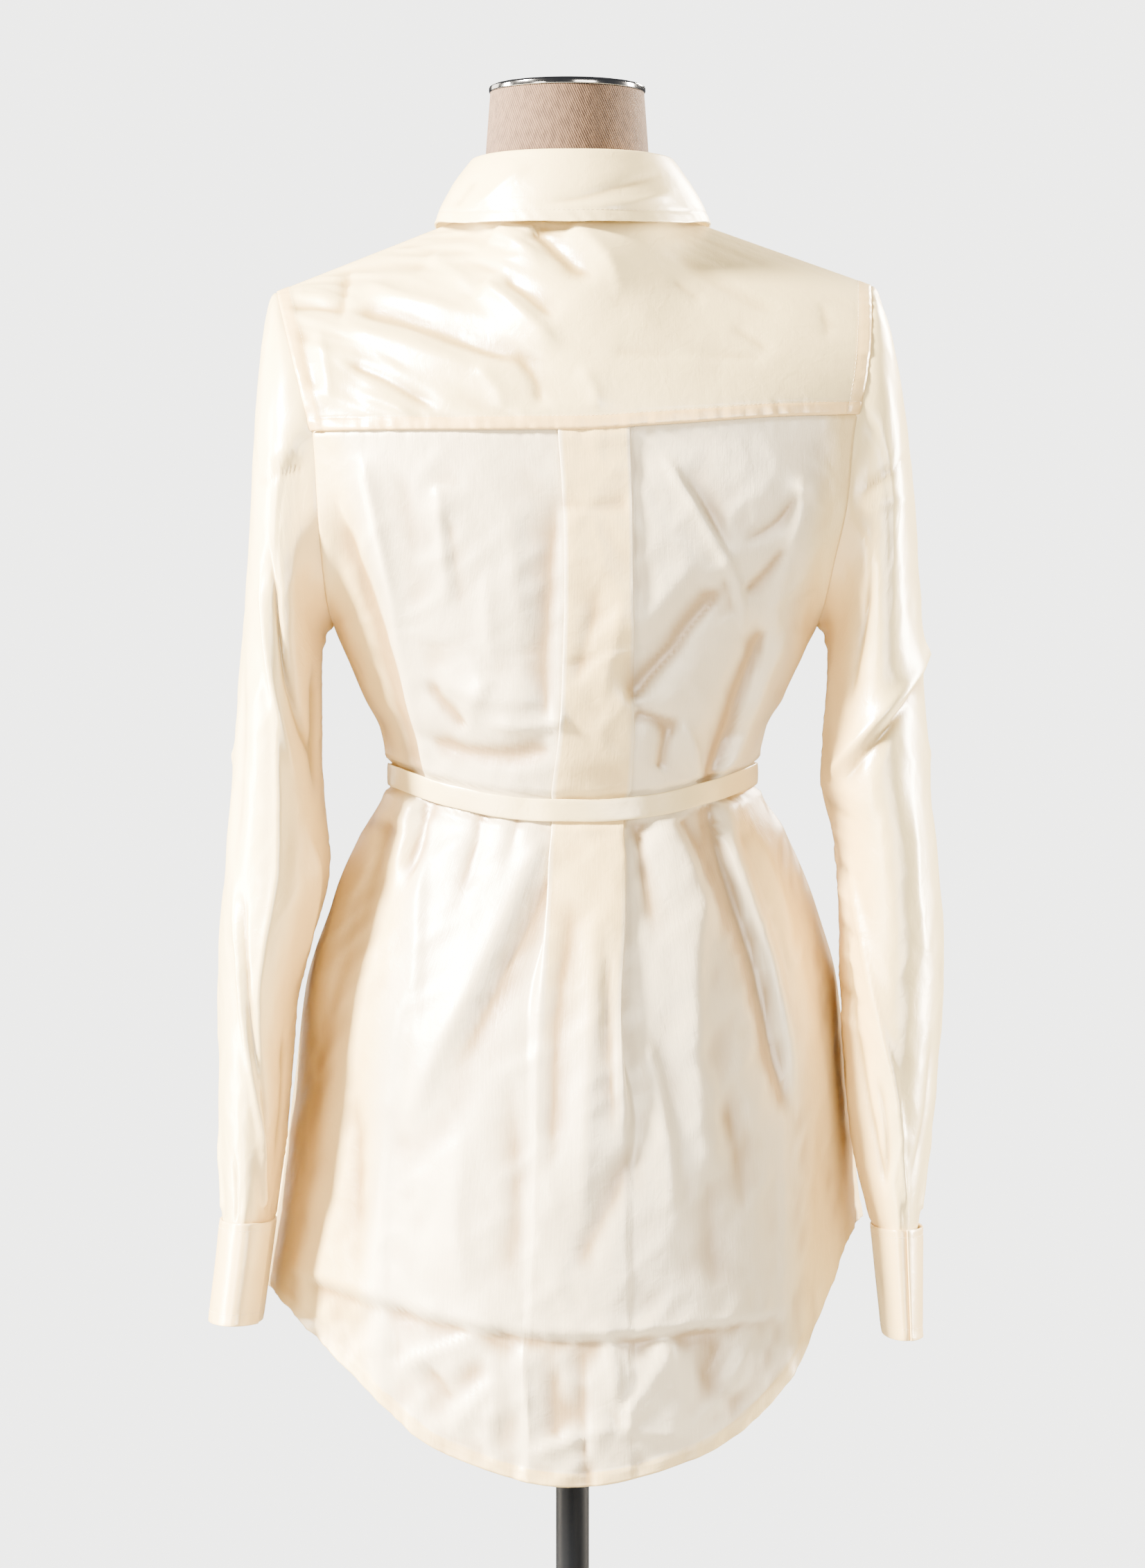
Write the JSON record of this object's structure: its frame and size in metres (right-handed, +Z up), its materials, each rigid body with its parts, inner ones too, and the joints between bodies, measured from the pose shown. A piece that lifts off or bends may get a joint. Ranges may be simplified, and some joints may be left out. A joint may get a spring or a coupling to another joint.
{
  "type": "maternity blouse on a dress form",
  "caption": "Long-sleeved satin shirt-blouse with yoke, box-pleated back, tie belt and curved hem, on a limbless linen dress form with a pole and round base.",
  "frame": {"origin": "on the floor, at the centre of the stand's round base", "axes": "+Z up along the pole; -Y is the way the wearer faces, so the back of the blouse faces +Y; +X is the wearer's left"},
  "size_m": [0.4821, 0.3518, 1.4988],
  "materials": {
    "satin": "warm cream satin",
    "panel_satin": "off-white satin-backed crepe",
    "button": "pearly polyester buttons",
    "linen": "unbleached linen twill over a hard shell",
    "neck_chrome": "dark polished chrome",
    "pole_steel": "blue-black satin steel"
  },
  "bodies": {
    "root": {"back_panel": "panel_satin", "back_yoke": "satin", "front_left": "satin", "front_right": "satin", "button_placket": "satin", "collar_stand": "satin", "collar_leaf": "satin", "sleeve_left": "satin", "sleeve_right": "satin", "cuff_left": "satin", "cuff_right": "satin", "belt_band": "satin", "belt_knot": "satin", "belt_tail_left": "satin", "belt_tail_right": "satin", "button_1": "button", "button_2": "button", "button_3": "button", "button_4": "button", "button_5": "button", "button_6": "button", "button_7": "button", "form_torso": "linen", "neck_cap": "neck_chrome", "stand_pole": "pole_steel", "stand_base": "pole_steel"}
  },
  "joints": []
}
